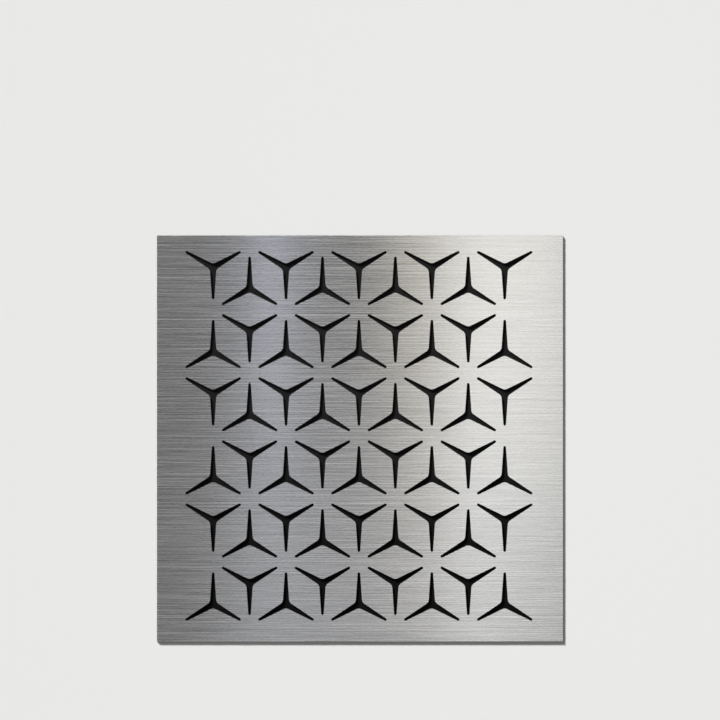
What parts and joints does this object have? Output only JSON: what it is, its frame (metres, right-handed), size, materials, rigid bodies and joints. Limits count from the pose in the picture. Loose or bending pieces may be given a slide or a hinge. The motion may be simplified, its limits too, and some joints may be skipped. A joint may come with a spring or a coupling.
{
  "type": "decorative metal sheet",
  "caption": "Square brushed stainless steel sheet, laser cut with a honeycomb lattice of tapered Y-shaped openings inside a plain border, for screens, cladding and infill.",
  "frame": {"origin": "centre of the sheet's back face, which lies on the floor", "axes": "+X to the right and +Y up across the brushed face as the picture shows it, +Z out of that face"},
  "size_m": [1, 1, 0.002],
  "materials": {
    "brushed_steel": "brushed along X on the front, mill finish on the back, bare laser cut edges"
  },
  "bodies": {
    "root": {"sheet": "brushed_steel"}
  },
  "joints": []
}
